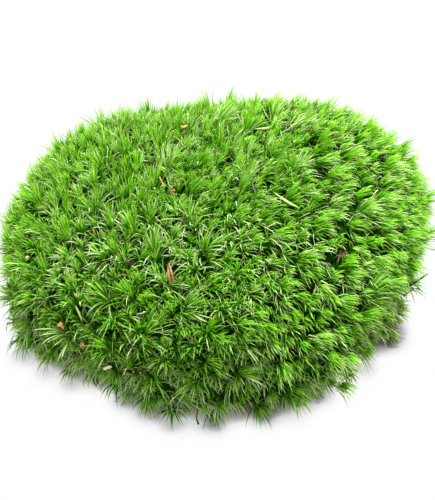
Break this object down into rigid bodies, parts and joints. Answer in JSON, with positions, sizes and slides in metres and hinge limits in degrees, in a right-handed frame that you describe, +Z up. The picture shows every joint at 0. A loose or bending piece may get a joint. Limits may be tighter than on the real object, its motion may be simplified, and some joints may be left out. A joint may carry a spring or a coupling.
{
  "type": "moss clump",
  "caption": "Domed cushion of green fork moss with a flat cut base and bits of plant litter caught between its shoots; rests on a surface as ground cover.",
  "frame": {"origin": "middle of the clump's bounding box at the level of its flat base", "axes": "+Z up, +X along the clump's long side to the right of the front view, -Y towards the front"},
  "size_m": [0.2095, 0.1709, 0.1017],
  "materials": {
    "moss": "matte living moss",
    "husk": "dry bud scale",
    "straw": "pale grass straw",
    "pale_blade": "bleached green blade",
    "dead_leaf": "withered leaf",
    "cream_wood": "peeled stick",
    "brown_stalk": "dry brown stalk",
    "ochre": "yellowed plant scrap",
    "rust": "rust-brown scale",
    "flake": "brown bark flake",
    "orange": "orange-brown husk",
    "tan": "tan bud",
    "bark": "dark weathered bark",
    "grit": "sandy grit"
  },
  "bodies": {
    "root": {"moss_mat": "moss", "bud_husk": "husk", "straw_bit": "straw", "long_pale_blade": "pale_blade", "short_pale_blade": "pale_blade", "curled_dead_leaf": "dead_leaf", "cream_stick": "cream_wood", "brown_stalk": "brown_stalk", "beaded_stem": "ochre", "brown_sliver": "brown_stalk", "red_sliver": "rust", "brown_flake": "flake", "orange_husk": "orange", "tan_bud": "tan", "dark_crumb": "bark", "rust_scale": "rust", "ochre_scale": "ochre", "beige_flake": "tan", "grit_1": "grit", "grit_2": "grit", "grit_3": "grit", "side_twig": "bark", "side_twig_spur": "bark", "front_twig": "bark"}
  },
  "joints": []
}
